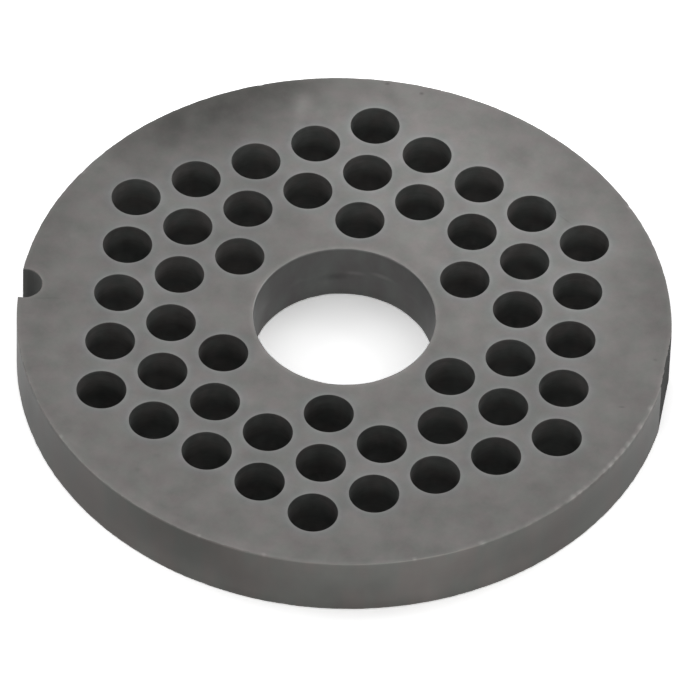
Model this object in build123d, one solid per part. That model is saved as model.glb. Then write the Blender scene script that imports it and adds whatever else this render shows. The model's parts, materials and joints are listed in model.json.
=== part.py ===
from build123d import *
from math import cos, radians, sin, sqrt
import os

# Hole plate of a meat grinder: a flat steel disc with a central bore, a hexagonal field of
# feed holes, a half-round keyway in the rim and a narrow flat ground nearly opposite it.
# Millimetres and degrees. +Z is the axis of the bore, and the plate lies on Z = 0.
# The keyway points along -X.

# Disc, a little under the 82 mm seat that it drops into
plate_diameter = 81.8
plate_thickness = 8.5
rim_edge_break = 0.1

# Central bore, which runs on the stud of the feed screw
bore_diameter = 22.7
bore_edge_break = 0.15

# Feed holes, on a hexagonal grid about the bore. Their edges are sharp, because the knife
# shears the meat against them. The distance is from centre to centre, and the rings are
# counted outwards from the middle of the grid.
hole_diameter = 6.2
hole_distance = 8.2
full_rings = (3, 4)
corner_ring = 2

# Keyway in the rim, cut by a round cutter that stands parallel to the axis
keyway_radius = 2.4
keyway_depth = 2.8
keyway_angle = 180.0

# Flat ground on the rim
flat_width = 8.7
flat_angle = -2.8

# Sizes that follow from those above
plate_radius = plate_diameter / 2
bore_radius = bore_diameter / 2
hole_radius = hole_diameter / 2
flat_distance = sqrt(plate_radius**2 - (flat_width / 2) ** 2)
hexagon_sides = 6
sector = 360.0 / hexagon_sides
first_corner = keyway_angle + sector / 2


def polar_point(radius, angle):
    """Point in the plane of the plate at a radius and an angle in degrees."""
    return Vector(radius * cos(radians(angle)), radius * sin(radians(angle)))


def ring_corners(ring):
    """Corners of one hexagonal ring of the grid, with the keyway midway between two of them."""
    return [
        polar_point(ring * hole_distance, first_corner + side * sector)
        for side in range(hexagon_sides)
    ]


def ring_centres(ring):
    """Every hole centre of one ring: a side holds as many steps of the spacing as its number."""
    corners = ring_corners(ring)
    centres = []
    for side, corner in enumerate(corners):
        next_corner = corners[(side + 1) % hexagon_sides]
        for step in range(ring):
            centres.append(corner + (next_corner - corner) * (step / ring))
    return centres


def feed_hole_centres():
    """The full rings, and inside them corners only, which leaves a plain land round the bore."""
    centres = ring_corners(corner_ring)
    for ring in full_rings:
        centres += ring_centres(ring)
    return centres


def turned_body(radius, flare):
    """Round body as thick as the plate. It flares at 45 degrees on both faces, outwards for a
    cutter that breaks the edges of its hole, inwards for a disc with broken edges."""
    profile = Polyline(
        (0, 0),
        (radius + flare, 0),
        (radius, abs(flare)),
        (radius, plate_thickness - abs(flare)),
        (radius + flare, plate_thickness),
        (0, plate_thickness),
        close=True,
    )
    return revolve(Plane.XZ * make_face(profile), Axis.Z)


def keyway_tool():
    """Round cutter, standing where it bites into the rim to the depth of the keyway."""
    centre = polar_point(plate_radius - keyway_depth + keyway_radius, keyway_angle)
    return Pos(*centre) * turned_body(keyway_radius, rim_edge_break)


def flat_tool():
    """Block that takes off what stands proud of the flat and breaks the flat's two edges."""
    profile = Polyline(
        (flat_distance - rim_edge_break, 0),
        (flat_distance, rim_edge_break),
        (flat_distance, plate_thickness - rim_edge_break),
        (flat_distance - rim_edge_break, plate_thickness),
        (plate_radius + rim_edge_break, plate_thickness),
        (plate_radius + rim_edge_break, 0),
        close=True,
    )
    block = extrude(Plane.XZ * make_face(profile), flat_width, both=True)
    return Rot(0, 0, flat_angle) * block


def feed_hole_tools():
    """One straight drill for each feed hole, right through the plate."""
    drill = extrude(Circle(hole_radius), plate_thickness)
    return [Pos(*centre) * drill for centre in feed_hole_centres()]


def grinder_plate():
    """The disc, less its bore, keyway, flat and feed holes: one solid."""
    disc = turned_body(plate_radius, -rim_edge_break)
    bore_tool = turned_body(bore_radius, bore_edge_break)
    return disc - bore_tool - keyway_tool() - flat_tool() - feed_hole_tools()


plate = grinder_plate()
print(f"plate: {len(plate.solids())} solid, {len(feed_hole_centres())} feed holes")
print(f"volume {plate.volume:.1f} mm3, valid {plate.is_valid}")

os.makedirs("parts", exist_ok=True)
export_step(plate, "parts/plate.step")
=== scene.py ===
# %% [markdown]
# # The hole plate of a meat grinder
# The plate is a round of hardened steel that stands in the mouth of the grinder. The knife
# turns against its face and shears the meat that the screw presses into its holes. It is
# one solid piece with a large bore, a hexagonal field of feed holes, a half-round keyway in
# the rim and a narrow flat ground nearly opposite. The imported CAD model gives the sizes,
# and the look is built here on top of it.

# %% Load the frame
import json
import math

import bmesh
import bpy
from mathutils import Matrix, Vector


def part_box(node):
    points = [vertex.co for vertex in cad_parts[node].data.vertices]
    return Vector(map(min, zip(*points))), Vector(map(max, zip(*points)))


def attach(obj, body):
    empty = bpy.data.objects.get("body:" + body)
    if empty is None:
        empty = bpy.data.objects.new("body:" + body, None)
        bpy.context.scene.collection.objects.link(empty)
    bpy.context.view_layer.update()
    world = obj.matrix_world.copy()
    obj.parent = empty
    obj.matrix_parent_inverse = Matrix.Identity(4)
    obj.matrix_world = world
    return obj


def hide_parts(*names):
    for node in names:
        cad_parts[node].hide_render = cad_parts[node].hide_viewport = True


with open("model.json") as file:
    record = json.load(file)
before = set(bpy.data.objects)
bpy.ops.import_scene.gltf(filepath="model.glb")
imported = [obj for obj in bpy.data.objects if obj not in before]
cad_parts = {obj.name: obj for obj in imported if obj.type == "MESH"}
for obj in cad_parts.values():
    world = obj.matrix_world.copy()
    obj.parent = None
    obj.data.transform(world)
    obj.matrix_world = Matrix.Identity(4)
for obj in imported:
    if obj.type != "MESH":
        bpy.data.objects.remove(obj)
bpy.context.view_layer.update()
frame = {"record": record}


# %% [markdown]
# ## Sizes
# Blender works in metres, and a steel plate is drawn in millimetres, so the sizes below are
# in millimetres and MM turns them into metres. The height comes from the CAD plate's box,
# and the rim, the bore and the keyway from the record's mounts, so that the piece follows
# the CAD model. The record has no line for every hole or for the flat, so they are named
# here. Each ring of the field is given with the number of holes that it carries.

# %% Read the plate's sizes
MM = 0.001
mounts = {mount["name"]: mount for mount in frame["record"]["mounts"]}
lowest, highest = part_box("plate")

plate_height = (highest.z - lowest.z) / MM
rim_radius = mounts["rim"]["dims"]["r_mm"]
bore_radius = mounts["bore"]["dims"]["r_mm"]
keyway_radius = mounts["keyway"]["dims"]["r_mm"]
keyway_centre = -mounts["keyway"]["pos_m"][0] / MM
hole_radius = 3.1
hole_distance = 8.2
holes_on_ring = {2: 6, 3: 18, 4: 24}
flat_width = 8.7
flat_angle = -2.8
print("height", round(plate_height, 3), "rim", rim_radius, "bore", bore_radius, "keyway", keyway_radius)
print("holes", sum(holes_on_ring.values()))

# %% [markdown]
# ## A short way to write nodes
# Materials and Geometry Nodes trees are both graphs of small nodes. Written link by link
# they are hard to read, so one small class wraps a socket and lets Python arithmetic add
# the Math nodes. Everything else goes through its `node` method, which takes the kind of
# node, its settings and what goes into its sockets.

# %% The wire class
class Wire:
    """One socket of a node tree. Arithmetic adds Math nodes, and node() adds any other."""

    def __init__(self, tree, socket=None):
        self.tree = tree
        self.socket = socket

    def node(self, kind, settings=None, inputs=None, out=0):
        """Adds a node. An input is a wire, a list of wires or a plain value."""
        made = self.tree.nodes.new(kind)
        for name, value in (settings or {}).items():
            setattr(made, name, value)
        for name, value in (inputs or {}).items():
            for each in value if isinstance(value, list) else [value]:
                if isinstance(each, Wire):
                    self.tree.links.new(each.socket, made.inputs[name])
                else:
                    made.inputs[name].default_value = each
        return Wire(self.tree, made.outputs[out])

    def out(self, name):
        """Another output of the node that this wire comes from."""
        return Wire(self.tree, self.socket.node.outputs[name])

    def math(self, operation, *others):
        return self.node("ShaderNodeMath", {"operation": operation}, dict(enumerate((self, *others))))

    def vector(self, operation, *others):
        return self.node("ShaderNodeVectorMath", {"operation": operation}, dict(enumerate((self, *others))))

    def length(self):
        return self.vector("LENGTH").out("Value")

    def scaled(self, factor):
        return self.node("ShaderNodeVectorMath", {"operation": "SCALE"}, {0: self, "Scale": factor})

    def __add__(self, other):
        return self.math("ADD", other)

    def __radd__(self, other):
        return self.math("ADD", other)

    def __sub__(self, other):
        return self.math("SUBTRACT", other)

    def __rsub__(self, other):
        return self.node("ShaderNodeMath", {"operation": "SUBTRACT"}, {0: other, 1: self})

    def __mul__(self, other):
        return self.math("MULTIPLY", other)

    def __rmul__(self, other):
        return self.math("MULTIPLY", other)

    def __truediv__(self, other):
        return self.math("DIVIDE", other)


print("A wire can be added, subtracted, multiplied and divided")

# %% [markdown]
# ## The camera
# The camera stands high over the near edge and looks down at 48 degrees through a very long
# lens, so the round plate shows as a calm ellipse with hardly any perspective. Its place is
# in metres, its turn in degrees and its lens in millimetres on a 36 millimetre sensor.

# %% Make the camera
camera_place = (0.0860213, -0.9180583, 1.0305239)
camera_turn = (41.864398, -1.335235, 6.790251)
camera_lens = 567.095
sensor_width = 36.0
farthest_seen = 20.0

camera = bpy.data.objects.new("Camera", bpy.data.cameras.new("Camera"))
camera.location = camera_place
camera.rotation_euler = [math.radians(angle) for angle in camera_turn]
camera.data.sensor_width = sensor_width
camera.data.lens = camera_lens
camera.data.clip_end = farthest_seen
bpy.context.scene.collection.objects.link(camera)
bpy.context.scene.camera = camera
print("Camera at", [round(v, 3) for v in camera.location], "with a lens of", round(camera.data.lens), "mm")

# %% [markdown]
# ## Steel finishes
# Bare steel has no paint, so its look comes from how it was cut and from what has happened
# to it since. The finishes share one builder: a colour and a roughness that vary over the
# surface, and a height that Bump turns into small unevenness. All patterns are laid out in
# millimetres on Object coordinates, so they stay put on the piece.

# %% The finish builder
def steel(name, design, metallic=1.0, specular=0.5):
    """Makes a steel material. design(co) returns its colour and roughness, and a height
    from 0 to 1 with the depth in millimetres that it stands for."""
    material = bpy.data.materials.new(name)
    material.use_nodes = True
    tree = material.node_tree
    tree.nodes.clear()
    root = Wire(tree)
    co = root.node("ShaderNodeTexCoord", out="Object").scaled(1.0 / MM)
    colour, roughness, height, depth = design(co)
    bump = {"Height": height, "Strength": 1.0, "Distance": depth * MM}
    surface = {
        "Base Color": colour,
        "Roughness": roughness,
        "Metallic": metallic,
        "Specular IOR Level": specular,
        "Normal": root.node("ShaderNodeBump", None, bump),
    }
    shader = root.node("ShaderNodeBsdfPrincipled", None, surface)
    output = tree.nodes.new("ShaderNodeOutputMaterial")
    tree.links.new(shader.socket, output.inputs["Surface"])
    return material


print("A finish is one function of the place on the piece")

# %% [markdown]
# ## Patterns
# A finish is put together from few patterns: clouds of noise at several scales, smooth
# slopes from one value to another, mixes of two colours and soft spots at a chosen place.
# Noise is stretched to look turned or streaked, and shifted where one set of clouds must
# not follow another.

# %% Helpers for patterns
mix_first, mix_second, mix_result = 6, 7, 2  # the colour sockets of a Mix node


def noise(co, scale, detail=2.0, roughness=0.5):
    """Clouds between 0 and 1, with `scale` of them to a millimetre."""
    inputs = {"Vector": co, "Scale": scale, "Detail": detail, "Roughness": roughness}
    return co.node("ShaderNodeTexNoise", {"noise_dimensions": "3D"}, inputs)


def swing(pattern, amount):
    """A pattern between 0 and 1, made to swing about 0 by half the amount each way."""
    return (pattern - 0.5) * amount


def rise(value, low, high):
    """0 below low, 1 above high and a smooth slope between them. It falls where high < low."""
    inputs = {"Value": value, "From Min": low, "From Max": high}
    return value.node("ShaderNodeMapRange", {"interpolation_type": "SMOOTHSTEP"}, inputs)


def blend(factor, first, second):
    """Mixes two colours."""
    settings = {"data_type": "RGBA", "clamp_factor": True}
    inputs = {"Factor": factor, mix_first: first, mix_second: second}
    return factor.node("ShaderNodeMix", settings, inputs, out=mix_result)


def stretched(co, x, y, z):
    return co.vector("MULTIPLY", (x, y, z))


def shifted(co, x, y, z):
    return co.vector("ADD", (x, y, z))


def from_axis(co):
    """How far out from the plate's axis, in millimetres."""
    return stretched(co, 1.0, 1.0, 0.0).length()


def from_rim(co):
    """How far in from the rim, in millimetres."""
    return rim_radius - from_axis(co)


def from_bore(co):
    """How far out from the bore, in millimetres."""
    return from_axis(co) - bore_radius


def axes(co):
    """The x, y and z of a place."""
    parts = co.node("ShaderNodeSeparateXYZ", None, {0: co})
    return parts.out("X"), parts.out("Y"), parts.out("Z")


def attribute(co, name):
    return co.node("ShaderNodeAttribute", {"attribute_name": name}, out="Fac")


print("Pattern helpers are ready")

# %% [markdown]
# ## Soft spots
# Old steel has marks that stay where they are: a stain, a scratch, a rubbed arc. Each is a
# soft oval spot. Soft spots also paint light and shade onto the face, the rim and the bore.
# A list of spots gives for each its middle and its half widths along x, y and z in
# millimetres, its turn in degrees, and how strong it is, which is below 0 where it works
# against the others.

# %% Helpers for spots
def spot(co, middle, size, turn=0.0):
    """1 in its middle and 0 at its border."""
    settings = {"vector_type": "TEXTURE"}
    inputs = {"Vector": co, "Location": middle, "Rotation": (0, 0, math.radians(turn)), "Scale": size}
    spread = co.node("ShaderNodeMapping", settings, inputs).length()
    return rise(spread, 1.0, 0.0)


def spots(co, listed):
    """The sum of a list of spots, each times its strength."""
    total = None
    for middle, size, turn, strength in listed:
        one = spot(co, middle, size, turn) * strength
        total = one if total is None else total + one
    return total


def on_face(x, y):
    return (x, y, plate_height)


print("Spots on the upper face lie at a height of", round(plate_height, 3), "millimetres")

# %% [markdown]
# ## Where the holes are, for a finish
# The steel between the holes is rubbed brighter than the plain steel round it. A finish can
# know how far it is from a hole without any drawing, because a hexagonal grid is two
# rectangular grids laid over each other. Wrapping the place into one cell of each grid gives
# the nearest grid point. Grid points without a hole, near the bore and the rim, are left out.

# %% Distance to the nearest hole
no_holes_within = 1.8 * hole_distance
no_holes_beyond = 4.1 * hole_distance
out_of_reach = 20.0


def distance_to_hole(co):
    """How far it is to the middle of the nearest hole, in millimetres."""
    across, along = hole_distance * math.sqrt(3) / 2, hole_distance / 2
    flat = stretched(co, 1.0, 1.0, 0.0)
    nearest = None
    for shift in ((0.0, 0.0, 0.0), (across, along, 0.0)):
        moved = flat.vector("SUBTRACT", shift)
        cell = moved.vector("WRAP", (across, along, 1.0), (-across, -along, -1.0))
        centre = flat.vector("SUBTRACT", cell).length()
        too_near = centre.math("LESS_THAN", no_holes_within)
        too_far = centre.math("GREATER_THAN", no_holes_beyond)
        away = cell.length() + too_near.math("MAXIMUM", too_far) * out_of_reach
        nearest = away if nearest is None else nearest.math("MINIMUM", away)
    return nearest


def hexagon_distance(co):
    """How far out from the axis, measured square to the nearest side of the field of holes."""
    farthest = None
    for turn in (0.0, 60.0, 120.0):
        square = (math.cos(math.radians(turn)), math.sin(math.radians(turn)), 0.0)
        out = co.vector("DOT_PRODUCT", square).out("Value").math("ABSOLUTE")
        farthest = out if farthest is None else farthest.math("MAXIMUM", out)
    return farthest


print("The holes lie", hole_distance, "millimetres apart")

# %% [markdown]
# ## Nicks
# Knocks against other steel have left bright nicks round the rim's upper edge, most of them
# along one stretch. They aren't regular, so each has its place round the rim in degrees, its
# width and its depth. The finishes show clean metal there, and the mesh is pressed in later.

# %% Where the nicks are
# Turn in degrees, width and depth in millimetres
nicks = [
    (-58.6, 0.70, 0.07),
    (-39.4, 0.85, 0.07),
    (-37.8, 0.60, 0.05),
    (-31.0, 0.60, 0.05),
    (-29.3, 0.75, 0.09),
    (-27.4, 0.50, 0.05),
    (-25.3, 0.75, 0.09),
    (-23.4, 0.80, 0.09),
    (-21.4, 0.60, 0.05),
    (-18.7, 0.90, 0.07),
    (-14.2, 0.70, 0.05),
    (-71.0, 0.45, 0.04),
    (-97.2, 0.45, 0.04),
    (-142.6, 0.50, 0.05),
    (-109.2, 0.45, 0.04),
    (35.0, 0.50, 0.06),
    (112.0, 0.45, 0.06),
    (151.0, 0.50, 0.05),
]


def knocks(co):
    """1 in the middle of a nick and 0 away from them."""
    shine_radius, shine_height, shine_depth = rim_radius - 0.25, plate_height - 0.1, 0.7
    found = None
    for turn, width, _ in nicks:
        angle = math.radians(turn)
        middle = (shine_radius * math.cos(angle), shine_radius * math.sin(angle), shine_height)
        nick = spot(co, middle, (width * 0.75, width * 1.05, shine_depth), turn)
        found = nick if found is None else found.math("MAXIMUM", nick)
    return found


print("Nicks:", len(nicks))

# %% [markdown]
# ## Wear and painted highlight along the edge
# The rounded edges are painted brighter than the faces, a painted highlight along with the
# wear where everything that is laid on the plate touches them first. Along one stretch of
# the rim the plate was handled most, and there the bright line is broken up into short
# pieces. The face and the rim meet in that line, so both finishes ask the same two helpers
# about it.

# %% Helpers for the worn stretch
stretch_middle = on_face(33.0, -24.0)
stretch_reach = 20.0


def worn_stretch(co):
    return spot(co, stretch_middle, (stretch_reach, stretch_reach, 9.0))


def broken_up(co):
    """Short pieces, 1 in a piece and 0 between them."""
    return rise(noise(co, 1.3), 0.42, 0.58)


print("The worn stretch is", stretch_reach * 2, "millimetres long")

# %% [markdown]
# ## The ground faces
# Both faces are ground flat and then worn by the knife. The metal is dull and cool between
# the holes, where the knife rubs it, and a little darker and warmer in the plain band near
# the rim, where a thin film of old grease stays. Near one part of the rim the face is darker
# in a broad patch, with a pale streak beside it. One broad band of the face is painted
# lighter and one spot darker, a painted light and shade. Fine clouds at several scales keep
# the surface from looking printed.

# %% Where the faces are rubbed, greased, darker in a patch and painted lighter
# Middle, half widths, turn and strength of each spot
# Painted light and shade: a broad band of the face is painted lighter and one spot darker
face_painted_light = [
    (on_face(8.5, 28.0), (26.5, 61.0, 99.0), 45.0, 0.385),
    (on_face(15.0, 15.0), (9.0, 9.0, 9.0), 0.0, -0.08),
]
grease_near_rim = [
    (on_face(39.0, 9.0), (16.0, 16.0, 9.0), 0.0, 0.18),
    (on_face(-39.0, 9.0), (18.0, 18.0, 9.0), 0.0, 0.11),
    (on_face(0.0, 40.0), (11.0, 11.0, 9.0), 0.0, 0.06),
]
# A darker patch on the face by the rim, with blots in it
dark_patch_by_rim = [(on_face(-18.8, 35.2), (26.0, 17.0, 9.0), 38.0, 0.46)]
dark_patch_blots = [
    (on_face(-25.6, 28.4), (2.4, 5.0, 4.0), 0.0, 0.12),
    (on_face(-20.0, 31.8), (4.5, 5.0, 4.0), 0.0, 0.08),
    (on_face(-13.8, 37.4), (6.5, 2.8, 4.0), 22.0, 0.10),
    (on_face(-23.2, 31.0), (1.6, 4.0, 4.0), 0.0, -0.06),
]
pale_streak = [
    (on_face(-9.6, 35.4), (2.0, 3.0, 4.0), 0.0, 0.24),
    (on_face(-9.6, 32.0), (1.2, 5.0, 4.0), 0.0, 0.12),
]
pits_and_scratches = [
    (on_face(0.7, 40.3), (0.5, 0.35, 1.0), 20.0, 1.0),
    (on_face(5.2, 39.2), (0.45, 0.4, 1.0), 0.0, 1.0),
    (on_face(35.9, -10.3), (0.7, 0.22, 1.0), 8.0, 0.7),
    (on_face(39.2, -1.9), (0.5, 0.35, 1.0), 0.0, 0.5),
    (on_face(-20.1, -26.2), (0.8, 0.6, 1.0), 0.0, 0.3),
    (on_face(-22.2, -28.9), (0.8, 0.6, 1.0), 0.0, 0.3),
    (on_face(25.6, 20.1), (1.6, 0.18, 1.0), -37.0, 0.4),
    (on_face(-36.7, -2.1), (3.4, 0.20, 1.0), 8.0, 0.3),
]
print("Pits and scratches on the face:", len(pits_and_scratches))

# %% [markdown]
# The tone of the face is a product of layers, each of them a number near 1: the clouds, the
# rubbing of the knife with the painted light, the grease, the bright edges with their painted
# highlight, the dark patch and the marks. That keeps each layer apart, so one can be made
# weaker or stronger without a change to the others.

# %% The ground face
warm_greys = [(0.1780, 0.167, 0.1635, 1), (0.1660, 0.167, 0.159, 1)]
cool_greys = [(0.1743, 0.170, 0.1696, 1), (0.1652, 0.171, 0.1656, 1)]
dark_patch_grey = (0.167, 0.166, 0.155, 1)
face_roughness = 0.42
face_grain_depth = 0.006


def worn_and_highlighted_edges(co):
    """How much brighter the face is beside its borders: worn by the rim, with a painted highlight along the
    worn stretch and by the bore.
    """
    inwards = from_rim(co)
    handled = spot(co, on_face(-14.0, -38.0), (34.0, 20.0, 9.0), -20.0)
    return (
        rise(inwards, 2.1, 1.0) * handled * 0.10
        + rise(inwards, 0.8, 0.2) * worn_stretch(co) * broken_up(co) * 0.14
        + rise(from_bore(co), 0.95, 0.25) * 0.05
    )


def ground_face(co):
    clouds = noise(co, 0.22, 6.0, 0.62)
    patch_mottle = noise(shifted(co, 31.0, 7.0, 3.0), 0.5, 3.0, 0.6)
    grain = noise(co, 5.0, 2.0, 0.6)
    tints = rise(noise(shifted(co, 3.0, 61.0, 9.0), 0.4, 5.0, 0.65), 0.35, 0.65)
    inwards, to_hole = from_rim(co), distance_to_hole(co)

    rubbed = rise(hexagon_distance(co), 37.3, 27.0) * 0.15 + rise(to_hole, 3.9, 3.3) * 0.03
    # Painted light: the broad band of the face painted lighter
    painted_light = spots(co, face_painted_light)
    grease = rise(inwards, 5.3, 1.3) * spots(co, grease_near_rim)
    dark_patch = spots(co, dark_patch_by_rim) * rise(inwards, 14.9, 0.6) + spots(co, dark_patch_blots)
    # Painted highlight with wear on the rounded edges and beside the borders, and the nicks
    edges = attribute(co, "edge") * 0.12 + worn_and_highlighted_edges(co) + knocks(co) * 0.30
    marks = spots(co, pits_and_scratches)

    between_holes = rise(to_hole, 4.6, 3.5)
    colour = blend(between_holes, blend(tints, *warm_greys), blend(tints, *cool_greys))
    colour = blend(dark_patch * rise(inwards, 5.9, 0.9), colour, dark_patch_grey)
    tone = (
        (0.97 + swing(clouds, 0.66) + swing(grain, 0.08))
        * (1.0 + rubbed + painted_light)
        * (1.0 - grease)
        * (1.0 + edges)
        * (1.0 - dark_patch * (0.75 + patch_mottle * 0.5))
        * (1.0 + spots(co, pale_streak))
        * (1.0 - marks * 0.35)
    )
    roughness = face_roughness + swing(clouds, 0.20) + dark_patch * 0.1
    height = clouds * 0.5 + grain * 0.5
    return colour.scaled(tone), roughness, height, face_grain_depth


face_finish = steel("Ground steel face", ground_face)
print("Made", face_finish.name, "with", len(face_finish.node_tree.nodes), "nodes")

# %% [markdown]
# ## The turned rim
# The rim is turned on a lathe and never polished. Handling leaves it in soft upright clouds
# of brown and green grey. Broad spots of painted light and shade lie round the wall, with
# painted light high on its right and low all round, and its rounded edges carry a painted
# highlight. The tool has left fine level lines, which are noise stretched a long way round
# and squeezed in height.

# %% The turned rim
rim_greys = [(0.1237, 0.1155, 0.1101, 1), (0.1155, 0.1167, 0.1102, 1)]
rim_roughness = 0.42
lathe_line_depth = 0.004
# Painted light and shade: broad spots make the round wall lighter and darker
rim_painted_light_and_shade = [
    ((14.0, -38.5, 4.0), (24.0, 24.0, 24.0), 0.0, 0.34),
    ((-16.5, -37.4, 8.5), (14.0, 14.0, 9.0), 0.0, -0.34),
    ((-38.4, -14.0, 4.0), (9.0, 9.0, 12.0), 0.0, -0.08),
    ((39.0, -11.0, 0.0), (9.0, 9.0, 6.0), 0.0, -0.16),
    ((-37.0, -16.0, 4.0), (30.0, 30.0, 30.0), 0.0, -0.30),
    ((38.5, -11.0, 3.0), (12.0, 12.0, 14.0), 0.0, -0.10),
]


def lathe_lines(co):
    return noise(stretched(co, 0.08, 0.08, 5.0), 1.0, 3.0, 0.6)


def turned_rim(co):
    clouds = noise(stretched(co, 1.0, 1.0, 0.6), 0.16, 4.0, 0.55)
    tints = noise(shifted(stretched(co, 1.0, 1.0, 0.4), 5.0, 40.0, 0.0), 0.22, 3.0, 0.55)
    lines = lathe_lines(co)
    right, _, up = axes(co)

    # Painted light high on the right and towards the bottom; painted highlight with wear on the edges,
    # dulled in pieces along the worn stretch
    painted_light_above = rise(up, 5.0, 8.0) * rise(right, 10.0, 30.0) * 0.09
    painted_light_below = rise(up, 4.5, 0.5) * 0.16
    dull = worn_stretch(co) * (1.0 - broken_up(co)) * 0.8
    edge_wear_and_highlight = attribute(co, "edge") * 0.45 * (1.0 - dull)

    colour = blend(rise(tints, 0.4, 0.6), *rim_greys)
    tone = (
        (0.97 + swing(clouds, 0.6) + swing(lines, 0.05))
        * (1.0 + spots(co, rim_painted_light_and_shade) + painted_light_above)
        * (1.0 + painted_light_below)
        * (1.0 + edge_wear_and_highlight)
        * (1.0 + knocks(co) * 0.55)
    )
    return colour.scaled(tone), rim_roughness + swing(clouds, 0.2), lines, lathe_line_depth


rim_finish = steel("Turned steel rim", turned_rim)
print("Made", rim_finish.name)

# %% [markdown]
# ## The bore
# The bore is cut finer than the rim, but it sits in its own shade. The stud that runs in it
# has rubbed a faint ring half-way down, which shows in places only, and left short arcs
# beside it, some of them bright and one dark. Its tone is painted lighter towards the bottom
# and on its left and darker on its right, a painted light and shade, and its rounded edges
# carry a painted highlight.

# %% The bore wall
bore_greys = [(0.126, 0.121, 0.120, 1), (0.116, 0.119, 0.115, 1)]
bore_roughness = 0.45
rubbed_arcs = [
    ((0.2, 11.3, 4.1), (1.8, 1.8, 0.5), 0.0, 0.28),
    ((3.5, 10.7, 4.6), (2.2, 2.2, 0.6), 0.0, 0.40),
    ((-2.5, 11.0, 3.4), (2.8, 2.8, 1.0), 0.0, -0.26),
    ((-10.7, 3.6, 4.4), (2.6, 2.6, 3.0), 0.0, 0.20),
    ((9.9, 5.3, 3.8), (1.5, 1.5, 3.4), 0.0, 0.18),
]
# Painted light and shade: darker on the right of the bore, lighter on its left
bore_painted_light_and_shade = [
    ((10.5, 4.4, 6.0), (8.0, 8.0, 9.0), 0.0, -0.38),
    ((-11.3, 1.0, 7.0), (6.0, 6.0, 7.0), 0.0, 0.25),
]
ring_height = 4.1


def bore_wall(co):
    clouds = noise(stretched(co, 1.0, 1.0, 0.6), 0.25, 4.0, 0.6)
    lines = lathe_lines(co)
    _, _, up = axes(co)

    ring_in_places = rise(noise(co, 0.3), 0.45, 0.6)
    ring = rise((up - ring_height).math("ABSOLUTE"), 0.8, 0.2) * ring_in_places
    # Painted light: lighter towards the bottom
    painted_light_below = rise(up, 5.5, 1.0) * 0.14

    colour = blend(rise(clouds, 0.35, 0.65), *bore_greys)
    tone = (
        (1.0 + swing(clouds, 0.8) + swing(lines, 0.06))
        * (1.0 + ring * 0.08 + spots(co, rubbed_arcs))
        * (1.10 + painted_light_below + spots(co, bore_painted_light_and_shade))
        # Painted highlight on the rounded edges
        * (1.0 + attribute(co, "edge") * 0.5)
    )
    return colour.scaled(tone), bore_roughness, lines, lathe_line_depth


bore_finish = steel("Bored steel", bore_wall)
print("Made", bore_finish.name)

# %% [markdown]
# ## Drilled holes, the keyway and the flat
# Drilling and slotting leave coarser walls than turning, and nothing ever wipes them, so
# they stay dark. The drill leaves faint rings, and each hole has a tone of its own, because
# the clouds that set it are the same all the way down. Each hole is painted darker with
# depth and darker on its right than on its left, a painted shade, and the holes are made
# lighter towards the back of the plate. The round cutter of the keyway leaves upright
# streaks. The keyway is lighter than the flat, and the sharp borders of both are painted
# bright, a painted highlight along with wear.

# %% The drilled walls
drilled_greys = [(0.223, 0.214, 0.208, 1), (0.207, 0.215, 0.208, 1)]
drilled_roughness = 0.62
drill_ring_depth = 0.012


def drilled_wall(co):
    rings = noise(stretched(co, 0.4, 0.4, 4.0), 1.0)
    clouds = noise(co, 0.4, 3.0)
    each_hole = noise(stretched(co, 1.0, 1.0, 0.0), 0.09, 1.0)
    tints = noise(shifted(co, 8.0, 17.0, 4.0), 0.3, 3.0)
    _, back, up = axes(co)
    down = plate_height - up
    side = attribute(co, "side")

    colour = blend(rise(tints, 0.4, 0.6), *drilled_greys)
    tone = (
        (1.0 + swing(rings, 0.3) + swing(clouds, 0.8) + swing(each_hole, 0.7))
        # Painted shade: darker with depth, and a little darker at the very top
        * (0.59 + rise(down, 4.3, 1.7) * 0.36 - rise(down, 1.3, 0.2) * 0.20)
        # Lighter towards the back of the plate
        * (0.86 + rise(back, -34.0, 34.0) * 0.28)
        # Painted shade: lighter on the left of each hole and darker on its right
        * (1.0 + rise(side, -0.1, -0.7) * 0.14 - rise(side, 0.5, 1.0) * 0.24)
    )
    return colour.scaled(tone), drilled_roughness, rings, drill_ring_depth


hole_finish = steel("Drilled steel", drilled_wall)
print("Made", hole_finish.name)

# %% The cut walls
cut_greys = [(0.050, 0.050, 0.048, 1), (0.044, 0.045, 0.044, 1)]
cut_roughness = 0.85
cut_streak_depth = 0.010


def cut_wall(co):
    streaks = noise(stretched(co, 3.0, 3.0, 0.25), 1.0)
    clouds = noise(co, 0.5, 3.0)
    right, _, _ = axes(co)

    colour = blend(clouds, *cut_greys)
    tone = (
        (1.0 + swing(streaks, 0.3) + swing(clouds, 0.3))
        # Painted highlight with wear on the sharp borders
        * (1.0 + attribute(co, "edge") * 0.8)
        * (0.8 + rise(right, 30.0, -30.0) * 0.8)
    )
    return colour.scaled(tone), cut_roughness, streaks, cut_streak_depth


cut_finish = steel("Cut steel", cut_wall, metallic=0.0, specular=0.15)
print("Made", cut_finish.name)

# %% [markdown]
# ## The plate as a rule
# Every wall of this plate is the same idea: a section with two rounded edges, swept along a
# closed outline. The rim, the bore and all the feed holes differ only in their outline. So
# one Geometry Nodes tree draws the outlines, sweeps the section along them and stamps the
# drilled wall on the points of three hexagons. The two flat faces are then filled between
# the open borders of the walls. Sizes are named inputs, so the same tree makes any plate of
# this family.

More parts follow.
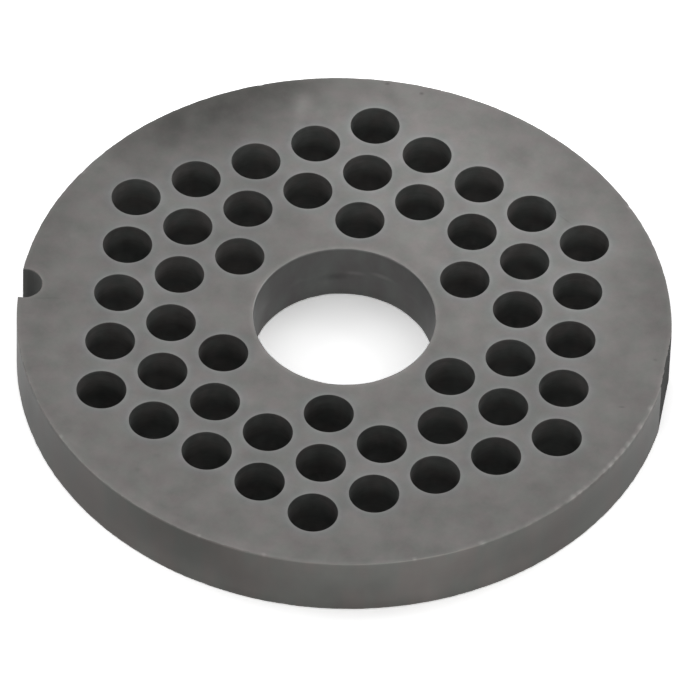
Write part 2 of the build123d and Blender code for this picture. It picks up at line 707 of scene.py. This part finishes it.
# %% Start the tree and its inputs
plate_tree = bpy.data.node_groups.new("Hole plate", "GeometryNodeTree")
plate_inputs = {}
sizes = {
    "Height": plate_height,
    "Rim Radius": rim_radius,
    "Bore Radius": bore_radius,
    "Hole Radius": hole_radius,
    "Hole Distance": hole_distance,
    "Keyway Radius": keyway_radius,
    "Keyway Centre": keyway_centre,
    "Flat Width": flat_width,
    "Rim Edge": 0.10,
    "Bore Edge": 0.14,
    "Hole Edge": 0.03,
    "Worn Land": 0.50,
    "Wear Depth": 0.16,
    "Outline Step": 0.25,
}
counts = {"Edge Steps": 3, "Wall Steps": 12, "Hole Wall Steps": 6, "Hole Sides": 48, "Bore Sides": 144}
finishes = {
    "Face Finish": face_finish,
    "Rim Finish": rim_finish,
    "Bore Finish": bore_finish,
    "Hole Finish": hole_finish,
    "Cut Finish": cut_finish,
}


def add_input(name, kind, value):
    socket = plate_tree.interface.new_socket(name, in_out="INPUT", socket_type=kind)
    plate_inputs[name] = (socket.identifier, value)


for name, size in sizes.items():
    add_input(name, "NodeSocketFloat", size * MM)
for name, count in counts.items():
    add_input(name, "NodeSocketInt", count)
for name, finish in finishes.items():
    add_input(name, "NodeSocketMaterial", finish)
add_input("Flat Angle", "NodeSocketFloat", math.radians(flat_angle))
add_input("Wear Seed", "NodeSocketFloat", 7.0)
plate_tree.interface.new_socket("Plate", in_out="OUTPUT", socket_type="NodeSocketGeometry")
given = Wire(plate_tree).node("NodeGroupInput")
print("The tree has", len(plate_inputs), "named inputs")

# %% [markdown]
# ## Helpers for geometry
# A few nodes are used again and again: one that joins parts, one that puts three numbers
# together into a place, and one that writes a number on every point for a finish to read.
# Lengths worked out in two ways differ by a hair, so comparisons allow for a little slack.

# %% Helpers for geometry
weld_distance = 0.002 * MM
slack = 0.01 * MM


def joined(*parts):
    return given.node("GeometryNodeJoinGeometry", None, {0: list(parts)})


def place_at(x=0.0, y=0.0, z=0.0):
    return given.node("ShaderNodeCombineXYZ", None, {"X": x, "Y": y, "Z": z})


def with_attribute(geometry, name, value):
    settings = {"data_type": "FLOAT", "domain": "POINT"}
    inputs = {"Geometry": geometry, "Name": name, "Value": value}
    return given.node("GeometryNodeStoreNamedAttribute", settings, inputs)


def painted(mesh, finish, selection=True):
    inputs = {"Geometry": mesh, "Selection": selection, "Material": given.out(finish)}
    return given.node("GeometryNodeSetMaterial", None, inputs)


def welded(geometry, distance):
    return given.node("GeometryNodeMergeByDistance", None, {"Geometry": geometry, "Distance": distance})


x, y, z = axes(given.node("GeometryNodeInputPosition"))
print("Geometry helpers are ready")

# %% [markdown]
# ## The section of a wall
# The section runs from the upper face over a rounded edge, down the wall and over the lower
# edge onto the lower face. A straight line of points is bent into it: the number of each
# point says which part it belongs to. The points crowd towards the edges, where the light
# changes quickest. The attribute `edge` marks the rounded part, so that a finish can show
# the wear and a painted highlight on it.

# %% Bend a line into the section
def wall_section(edge, wall_steps):
    height, land, edge_steps = given.out("Height"), given.out("Worn Land"), given.out("Edge Steps")
    # One point more than there are steps, and one at the end of each land
    count = edge_steps * 2.0 + wall_steps + 3.0
    line = given.node("GeometryNodeCurvePrimitiveLine", None, {"Start": (0, 0, 0), "End": (0, -MM, 0)})
    line = given.node("GeometryNodeResampleCurve", None, {"Curve": line, "Count": count})
    number = given.node("GeometryNodeInputIndex")

    def part(start, steps):
        return given.node("ShaderNodeClamp", None, {"Value": (number - start) / steps})

    quarter = math.pi / 2
    upper = part(1.0, edge_steps) * quarter
    wall = rise(part(edge_steps + 1.0, wall_steps), 0.0, 1.0)
    lower = part(edge_steps + wall_steps + 1.0, edge_steps) * quarter
    ends = number.math("LESS_THAN", 0.5) + number.math("GREATER_THAN", count - 1.5)
    out = edge * (upper.math("SINE") + lower.math("COSINE") - 2.0) - land * ends
    down = (
        height * -1.0
        + edge * (1.0 - upper.math("COSINE"))
        + (height - edge * 2.0) * wall
        + edge * lower.math("SINE")
    )
    line = given.node("GeometryNodeSetPosition", None, {"Geometry": line, "Position": place_at(out, down)})
    on_wall = wall.math("GREATER_THAN", 0.001) * wall.math("LESS_THAN", 0.999)
    return with_attribute(line, "edge", (1.0 - ends) * (1.0 - on_wall))


def sweep(outline, section):
    standing = given.node("GeometryNodeSetCurveNormal", {"mode": "Z_UP"}, {"Curve": outline})
    return given.node("GeometryNodeCurveToMesh", None, {"Curve": standing, "Profile Curve": section})


rim_section = wall_section(given.out("Rim Edge"), given.out("Wall Steps"))
bore_section = wall_section(given.out("Bore Edge"), given.out("Wall Steps"))
hole_section = wall_section(given.out("Hole Edge"), given.out("Hole Wall Steps"))
print("Three sections share one rule")

# %% [markdown]
# ## The outline of the rim
# The rim is a circle with two things taken out of it: the keyway, which is part of a small
# circle, and the flat, which is a straight line. Two long arcs, the keyway's arc and the
# line are joined end to end. Their ends are welded as a mesh of edges, and that turns into
# one closed curve again.

# %% Draw the rim's outline
radius, key_radius = given.out("Rim Radius"), given.out("Keyway Radius")
key_centre, step = given.out("Keyway Centre"), given.out("Outline Step")
cosine = (radius * radius + key_centre * key_centre - key_radius * key_radius) / (radius * key_centre * 2.0)
lip = cosine.math("ARCCOSINE")
half_flat = (given.out("Flat Width") / (radius * 2.0)).math("ARCSINE")
flat_start = given.out("Flat Angle") - half_flat
flat_end = given.out("Flat Angle") + half_flat


def arc(arc_radius, start, turn):
    points = arc_radius * turn.math("ABSOLUTE") / step
    inputs = {"Radius": arc_radius, "Start Angle": start, "Sweep Angle": turn, "Resolution": points}
    return given.node("GeometryNodeCurveArc", {"mode": "RADIUS"}, inputs)


def rim_point(angle):
    return place_at(radius * angle.math("COSINE"), radius * angle.math("SINE"))


upper_arc = arc(radius, flat_end, math.pi - lip - flat_end)
lower_arc = arc(radius, math.pi + lip, math.pi + flat_start - lip)
lip_angle = (radius * lip.math("SINE")).math("ARCTAN2", key_centre - radius * cosine)
key_arc = arc(key_radius, lip_angle, lip_angle * -2.0)
key_place = place_at(key_centre * -1.0)
key_arc = given.node("GeometryNodeTransform", None, {"Geometry": key_arc, "Translation": key_place})
flat_ends = {"Start": rim_point(flat_start), "End": rim_point(flat_end)}
flat_line = given.node("GeometryNodeCurvePrimitiveLine", None, flat_ends)
flat_points = {"Curve": flat_line, "Count": given.out("Flat Width") / step}
flat_line = given.node("GeometryNodeResampleCurve", None, flat_points)
print("The rim's outline has four parts")

# %% Weld the outline
rim_outline = joined(upper_arc, key_arc, lower_arc, flat_line)
rim_outline = given.node("GeometryNodeCurveToMesh", None, {"Curve": rim_outline})
rim_outline = welded(rim_outline, slack)
rim_outline = given.node("GeometryNodeMeshToCurve", None, {"Mesh": rim_outline})
print("The outline is one closed curve")

# %% [markdown]
# The rounded edge and the worn land step inwards from the outline. Right beside the sharp
# corners of the keyway those steps would cross each other, so the points nearest to a
# corner are taken out and only the corner itself stays.

# %% Clear the keyway's corners
room = (given.out("Rim Edge") + given.out("Worn Land")) * 1.1
off_x = x + radius * cosine
off_y = y.math("ABSOLUTE") - radius * lip.math("SINE")
to_corner = (off_x * off_x + off_y * off_y).math("SQRT")
crowded = to_corner.math("GREATER_THAN", slack) * to_corner.math("LESS_THAN", room)
taken_out = {"Geometry": rim_outline, "Selection": crowded}
rim_outline = given.node("GeometryNodeDeleteGeometry", {"domain": "POINT"}, taken_out)
print("The corners have room for their edges")

# %% [markdown]
# ## Uneven edges
# A plate that has been in and out of a grinder for years has no perfect edge left. Fixed
# noise presses the rounded edges in by a few hundredths of a millimetre, more in some
# places than in others, always into the metal. Where the noise is low, the edge is spared.

# %% Wear the edges down
spared_below = 0.35
edge_mark = given.node("GeometryNodeInputNamedAttribute", {"data_type": "FLOAT"}, {"Name": "edge"})
on_edge = edge_mark.math("GREATER_THAN", 0.5)
drawn_place = given.node("GeometryNodeInputPosition").scaled(1.0 / MM)
seeded = {"Vector": drawn_place, "W": given.out("Wear Seed"), "Scale": 0.9, "Detail": 3.0}
wear = given.node("ShaderNodeTexNoise", {"noise_dimensions": "4D"}, seeded)
pressed = (wear - spared_below).math("MAXIMUM", 0.0) * given.out("Wear Depth")
inwards = given.node("GeometryNodeInputNormal").scaled(pressed * -1.0)


def worn(wall):
    inputs = {"Geometry": wall, "Selection": on_edge, "Offset": inwards}
    return given.node("GeometryNodeSetPosition", None, inputs)


print("Edges worn by seeded noise")

# %% [markdown]
# ## The wall of the rim
# The outline gives the whole wall one finish. The keyway and the flat are cut by another
# tool, so the parts of the wall that lie on the keyway's circle or within the width of the
# flat get the cut finish instead.

# %% Sweep and paint the rim
flat_cosine, flat_sine = given.out("Flat Angle").math("COSINE"), given.out("Flat Angle").math("SINE")
from_key = ((x + key_centre) * (x + key_centre) + y * y).math("SQRT")
in_key = from_key.math("LESS_THAN", key_radius + slack * 2.0)
towards_flat = x * flat_cosine + y * flat_sine
along_flat = y * flat_cosine - x * flat_sine
beside_flat = along_flat.math("ABSOLUTE").math("LESS_THAN", given.out("Flat Width") * 0.5)
on_flat = towards_flat.math("GREATER_THAN", 0.0) * beside_flat

rim_wall = painted(worn(sweep(rim_outline, rim_section)), "Rim Finish")
rim_wall = painted(rim_wall, "Cut Finish", in_key.math("MAXIMUM", on_flat))
print("The rim's wall has two finishes")

# %% [markdown]
# ## Walls that face inwards
# The section keeps its metal on the left of the way it travels. The rim is travelled against
# the clock, so the bore and the holes are travelled with the clock, which turns their walls
# towards their own middle. The hole is made once, round the origin, and there the attribute
# `side` is written on it, from -1 on its left to 1 on its right.

# %% Sweep the bore and one hole
def round_wall(wall_radius, sides, section):
    inputs = {"Radius": wall_radius, "Resolution": sides}
    circle = given.node("GeometryNodeCurvePrimitiveCircle", {"mode": "RADIUS"}, inputs)
    return sweep(given.node("GeometryNodeReverseCurve", None, {"Curve": circle}), section)


bored = round_wall(given.out("Bore Radius"), given.out("Bore Sides"), bore_section)
bored = painted(worn(bored), "Bore Finish")
one_hole = round_wall(given.out("Hole Radius"), given.out("Hole Sides"), hole_section)
one_hole = painted(one_hole, "Hole Finish")
# side carries the painted shade: each hole is painted lighter on its left, darker on its right
one_hole = with_attribute(one_hole, "side", x / given.out("Hole Radius"))
print("Walls for the bore and one hole")

# %% [markdown]
# ## Stamp the holes
# The feed holes lie on rings of a hexagonal grid. A circle with six sides is a hexagon, and
# resampling it into six points for each ring number lands exactly on the grid. The second
# ring keeps only its corners, because the bore and the metal round it take the rest. The
# hexagons are turned by half a side, so that the keyway stands midway between two corners.

# %% Put a hole on every grid point
def hexagon_points(ring, count):
    six_sided = {"Radius": given.out("Hole Distance") * float(ring), "Resolution": 6}
    hexagon = given.node("GeometryNodeCurvePrimitiveCircle", {"mode": "RADIUS"}, six_sided)
    half_a_side = {"Geometry": hexagon, "Rotation": (0, 0, math.radians(30))}
    hexagon = given.node("GeometryNodeTransform", None, half_a_side)
    return given.node("GeometryNodeCurveToPoints", {"mode": "COUNT"}, {"Curve": hexagon, "Count": count})


grid = joined(*[hexagon_points(ring, count) for ring, count in holes_on_ring.items()])
stamped = given.node("GeometryNodeInstanceOnPoints", None, {"Points": grid, "Instance": one_hole})
stamped = given.node("GeometryNodeRealizeInstances", None, {"Geometry": stamped})
walls = joined(rim_wall, bored, stamped)
print("Stamped rings:", holes_on_ring)

# %% [markdown]
# ## Close the two faces
# Each wall ends in an open border that lies in a face of the plate. The borders become
# curves, and Fill Curve spans the metal between the outer one and all the inner ones. After
# the weld the whole plate is one closed skin.

# %% Fill the faces and weld
def face_between(level, flipped):
    neighbours = given.node("GeometryNodeInputMeshEdgeNeighbors", out="Face Count")
    at_level = (z - level).math("ABSOLUTE").math("LESS_THAN", slack)
    border = {"Mesh": walls, "Selection": neighbours.math("LESS_THAN", 1.5) * at_level}
    curves = given.node("GeometryNodeMeshToCurve", None, border)
    filled = given.node("GeometryNodeFillCurve", {"mode": "TRIANGLES"}, {"Curve": curves})
    lifted = {"Geometry": filled, "Translation": place_at(z=level)}
    filled = given.node("GeometryNodeTransform", None, lifted)
    if flipped:
        filled = given.node("GeometryNodeFlipFaces", None, {"Mesh": filled})
    return painted(filled, "Face Finish")


upper_face = face_between(given.out("Height"), False)
lower_face = face_between(0.0, True)
whole = welded(joined(walls, upper_face, lower_face), weld_distance)
print("The faces close the walls")

# %% [markdown]
# ## Shade the skin
# The walls are smooth, so that their facets don't show. The flat faces stay unsmoothed, so
# that the rounded edges don't bend the light on them. The land beside each edge was swept
# with its wall, but it lies in the face, so it gets the face's finish at the end.

# %% Shade and paint the faces
quite_level, nearly_level = 0.9999, 0.97
_, _, normal_z = axes(given.node("GeometryNodeInputNormal"))
up_or_down = normal_z.math("ABSOLUTE")


def shaded(mesh, smooth, selection=True):
    inputs = {"Geometry": mesh, "Selection": selection, "Shade Smooth": smooth}
    return given.node("GeometryNodeSetShadeSmooth", {"domain": "FACE"}, inputs)


whole = shaded(whole, True)
whole = shaded(whole, False, up_or_down.math("GREATER_THAN", quite_level))
whole = given.node("GeometryNodeRealizeInstances", None, {"Geometry": whole})
whole = painted(whole, "Face Finish", up_or_down.math("GREATER_THAN", nearly_level))
plate_output = plate_tree.nodes.new("NodeGroupOutput")
plate_tree.links.new(whole.socket, plate_output.inputs["Plate"])
print("The tree has", len(plate_tree.nodes), "nodes")

# %% [markdown]
# ## From the tree to a plain mesh
# The modifier is only the workshop. Its result is taken out as an ordinary mesh, and the
# modifier is left behind, so that what rides on the frame is a plain, closed piece.

# %% Make the plate
workshop = bpy.data.objects.new("Workshop", bpy.data.meshes.new("Workshop"))
bpy.context.scene.collection.objects.link(workshop)
modifier = workshop.modifiers.new("Hole plate", "NODES")
modifier.node_group = plate_tree
for identifier, value in plate_inputs.values():
    modifier[identifier] = value
evaluated = workshop.evaluated_get(bpy.context.evaluated_depsgraph_get())
plate_mesh = bpy.data.meshes.new_from_object(evaluated)
plate_mesh.name = "Hole plate"
bpy.data.objects.remove(workshop)
plate = bpy.data.objects.new("Hole_plate", plate_mesh)
bpy.context.scene.collection.objects.link(plate)
print("Faces:", len(plate_mesh.polygons), "finishes:", [m.name for m in plate_mesh.materials])

# %% [markdown]
# ## Press in the nicks
# Only the vertices by the rim's upper edge are within reach of a knock. Each nick pushes
# them in and down, deepest in its middle.

# %% Press in the nicks
reach_radius = (rim_radius - 0.35) * MM
reach_height = (plate_height - 0.5) * MM
knock_radius = (rim_radius - 0.1) * MM
knock_height = (plate_height - 0.1) * MM

in_reach = [v for v in plate_mesh.vertices if v.co.xy.length > reach_radius and v.co.z > reach_height]
for turn, width, depth in nicks:
    out = Vector((math.cos(math.radians(turn)), math.sin(math.radians(turn)), 0.0))
    middle = out * knock_radius + Vector((0, 0, knock_height))
    push = (out + Vector((0, 0, 1))).normalized() * -depth * MM
    for vertex in in_reach:
        away = (vertex.co - middle).length / (width * MM)
        if away < 1.0:
            vertex.co += push * (1.0 - away * away) ** 2
print("Vertices within reach:", len(in_reach))

# %% [markdown]
# ## Check the skin
# In a closed skin every edge belongs to exactly two faces, and with all faces pointing
# outwards the signed volume comes out positive. Both are measured before the plate is
# handed over.

# %% Measure the plate
check = bmesh.new()
check.from_mesh(plate_mesh)
open_edges = sum(1 for edge in check.edges if len(edge.link_faces) != 2)
volume = round(check.calc_volume(signed=True) / MM**3, 1)
check.free()
print("Open edges:", open_edges, "volume in cubic millimetres:", volume)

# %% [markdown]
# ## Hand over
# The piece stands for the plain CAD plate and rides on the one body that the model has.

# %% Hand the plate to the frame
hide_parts("plate")
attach(plate, "root")
print("The plate rides on the frame")

# %% [markdown]
# ## The paper
# The plate lies on plain white paper. The paper shows white to the camera and to the steel,
# and still takes the plate's own shadow, because only its colour is raised for those rays
# and not the light. What bounces from it onto the plate is a plain light grey.

# %% Lay the paper
floor_size = 6.0
paper_grey = 0.8
camera_lift = 1.0
mirror_lift = 0.4

half = floor_size / 2
corners = [(-half, -half, 0), (half, -half, 0), (half, half, 0), (-half, half, 0)]
floor_mesh = bpy.data.meshes.new("Floor")
floor_mesh.from_pydata(corners, [], [(0, 1, 2, 3)])
floor = bpy.data.objects.new("Floor", floor_mesh)
bpy.context.scene.collection.objects.link(floor)
paper = bpy.data.materials.new("White paper")
paper.use_nodes = True
paper.node_tree.nodes.clear()
sheet = Wire(paper.node_tree)
rays = sheet.node("ShaderNodeLightPath")
mirrored = rays.out("Is Glossy Ray").math("MAXIMUM", rays.out("Is Transmission Ray"))
grey = paper_grey + rays.out("Is Camera Ray") * camera_lift + mirrored * mirror_lift
paper_colour = sheet.node("ShaderNodeCombineColor", None, {0: grey, 1: grey, 2: grey})
paper_shader = sheet.node("ShaderNodeBsdfDiffuse", None, {"Color": paper_colour})
paper_output = paper.node_tree.nodes.new("ShaderNodeOutputMaterial")
paper.node_tree.links.new(paper_shader.socket, paper_output.inputs["Surface"])
floor_mesh.materials.append(paper)
print("Paper of", floor_size, "metres")

# %% [markdown]
# ## The light
# An even white glow from all round does most of the work, as in a light tent, and a large
# soft lamp on each side gives the round wall its slow change of tone. The glow is a little
# stronger for the camera and for reflections than for the light that it gives.

# %% Light the tent
tent_light = 0.75
tent_seen = 1.0

world = bpy.data.worlds.new("Tent")
world.use_nodes = True
world.node_tree.nodes.clear()
tent = Wire(world.node_tree)
rays = tent.node("ShaderNodeLightPath")
mirrored = rays.out("Is Glossy Ray").math("MAXIMUM", rays.out("Is Transmission Ray"))
seen = rays.out("Is Camera Ray").math("MAXIMUM", mirrored)
strength = tent_light + seen * (tent_seen - tent_light)
glow = tent.node("ShaderNodeBackground", None, {"Color": (1, 1, 1, 1), "Strength": strength})
world_output = world.node_tree.nodes.new("ShaderNodeOutputWorld")
world.node_tree.links.new(glow.socket, world_output.inputs["Surface"])
bpy.context.scene.world = world
print("The tent glows at", tent_light, "and shows as", tent_seen)


# %% Set up the softboxes
def softbox(name, place, size, watts):
    lamp = bpy.data.objects.new(name, bpy.data.lights.new(name, "AREA"))
    lamp.data.shape = "SQUARE"
    lamp.data.size = size
    lamp.data.energy = watts
    lamp.location = place
    lamp.rotation_euler = (-lamp.location).to_track_quat("-Z", "Y").to_euler()
    lamp.visible_camera = False
    bpy.context.scene.collection.objects.link(lamp)
    print(name, "at", [round(v, 2) for v in lamp.location], "with", watts, "watts")


softbox("Right softbox", place=(1.1, 0.9, 1.1), size=0.8, watts=5.0)
softbox("Left softbox", place=(-1.2, 0.3, 0.8), size=0.8, watts=4.0)

# %% [markdown]
# ## Finish
# The view settings stay plain, so that a colour shows as it was written.

# %% Set the view
bpy.context.scene.view_settings.view_transform = "Standard"
